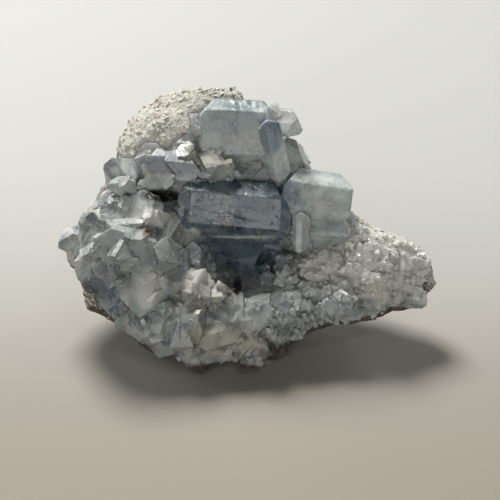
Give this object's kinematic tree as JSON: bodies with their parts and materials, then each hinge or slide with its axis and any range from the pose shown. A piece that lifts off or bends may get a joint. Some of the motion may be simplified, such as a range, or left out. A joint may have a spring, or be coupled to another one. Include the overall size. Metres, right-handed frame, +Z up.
{
  "type": "celestite geode",
  "caption": "Broken chunk of a geode: lumpy host rock backing a crust of pale blue celestite crystals, with large crystals around a shallow hollow. Stands on a small flat spot.",
  "frame": {"origin": "centre of the small flat spot under the host rock that the chunk stands on", "axes": "+Z up, +X to the right along the chunk's longest side, -Y towards the crystal-lined face, which leans back"},
  "size_m": [0.1097, 0.0623, 0.0651],
  "materials": {
    "host_rock": "rough grey-brown rock, cream and sugary along the upper left wall",
    "crystal_crust": "translucent grey-white to pale blue crystals",
    "blue_crystal": "smooth cloudy blue-grey crystal faces",
    "clear_crystal": "clear crystal with sharp edges"
  },
  "bodies": {
    "root": {"host_rock": "host_rock", "crystal_crust": "crystal_crust", "centre_crystal": "blue_crystal", "upper_crystal": "blue_crystal", "right_crystal": "blue_crystal", "lower_right_crystal": "blue_crystal", "pillar_crystal": "blue_crystal", "standing_prism": "clear_crystal", "clear_tip_crystal": "clear_crystal"}
  },
  "joints": []
}
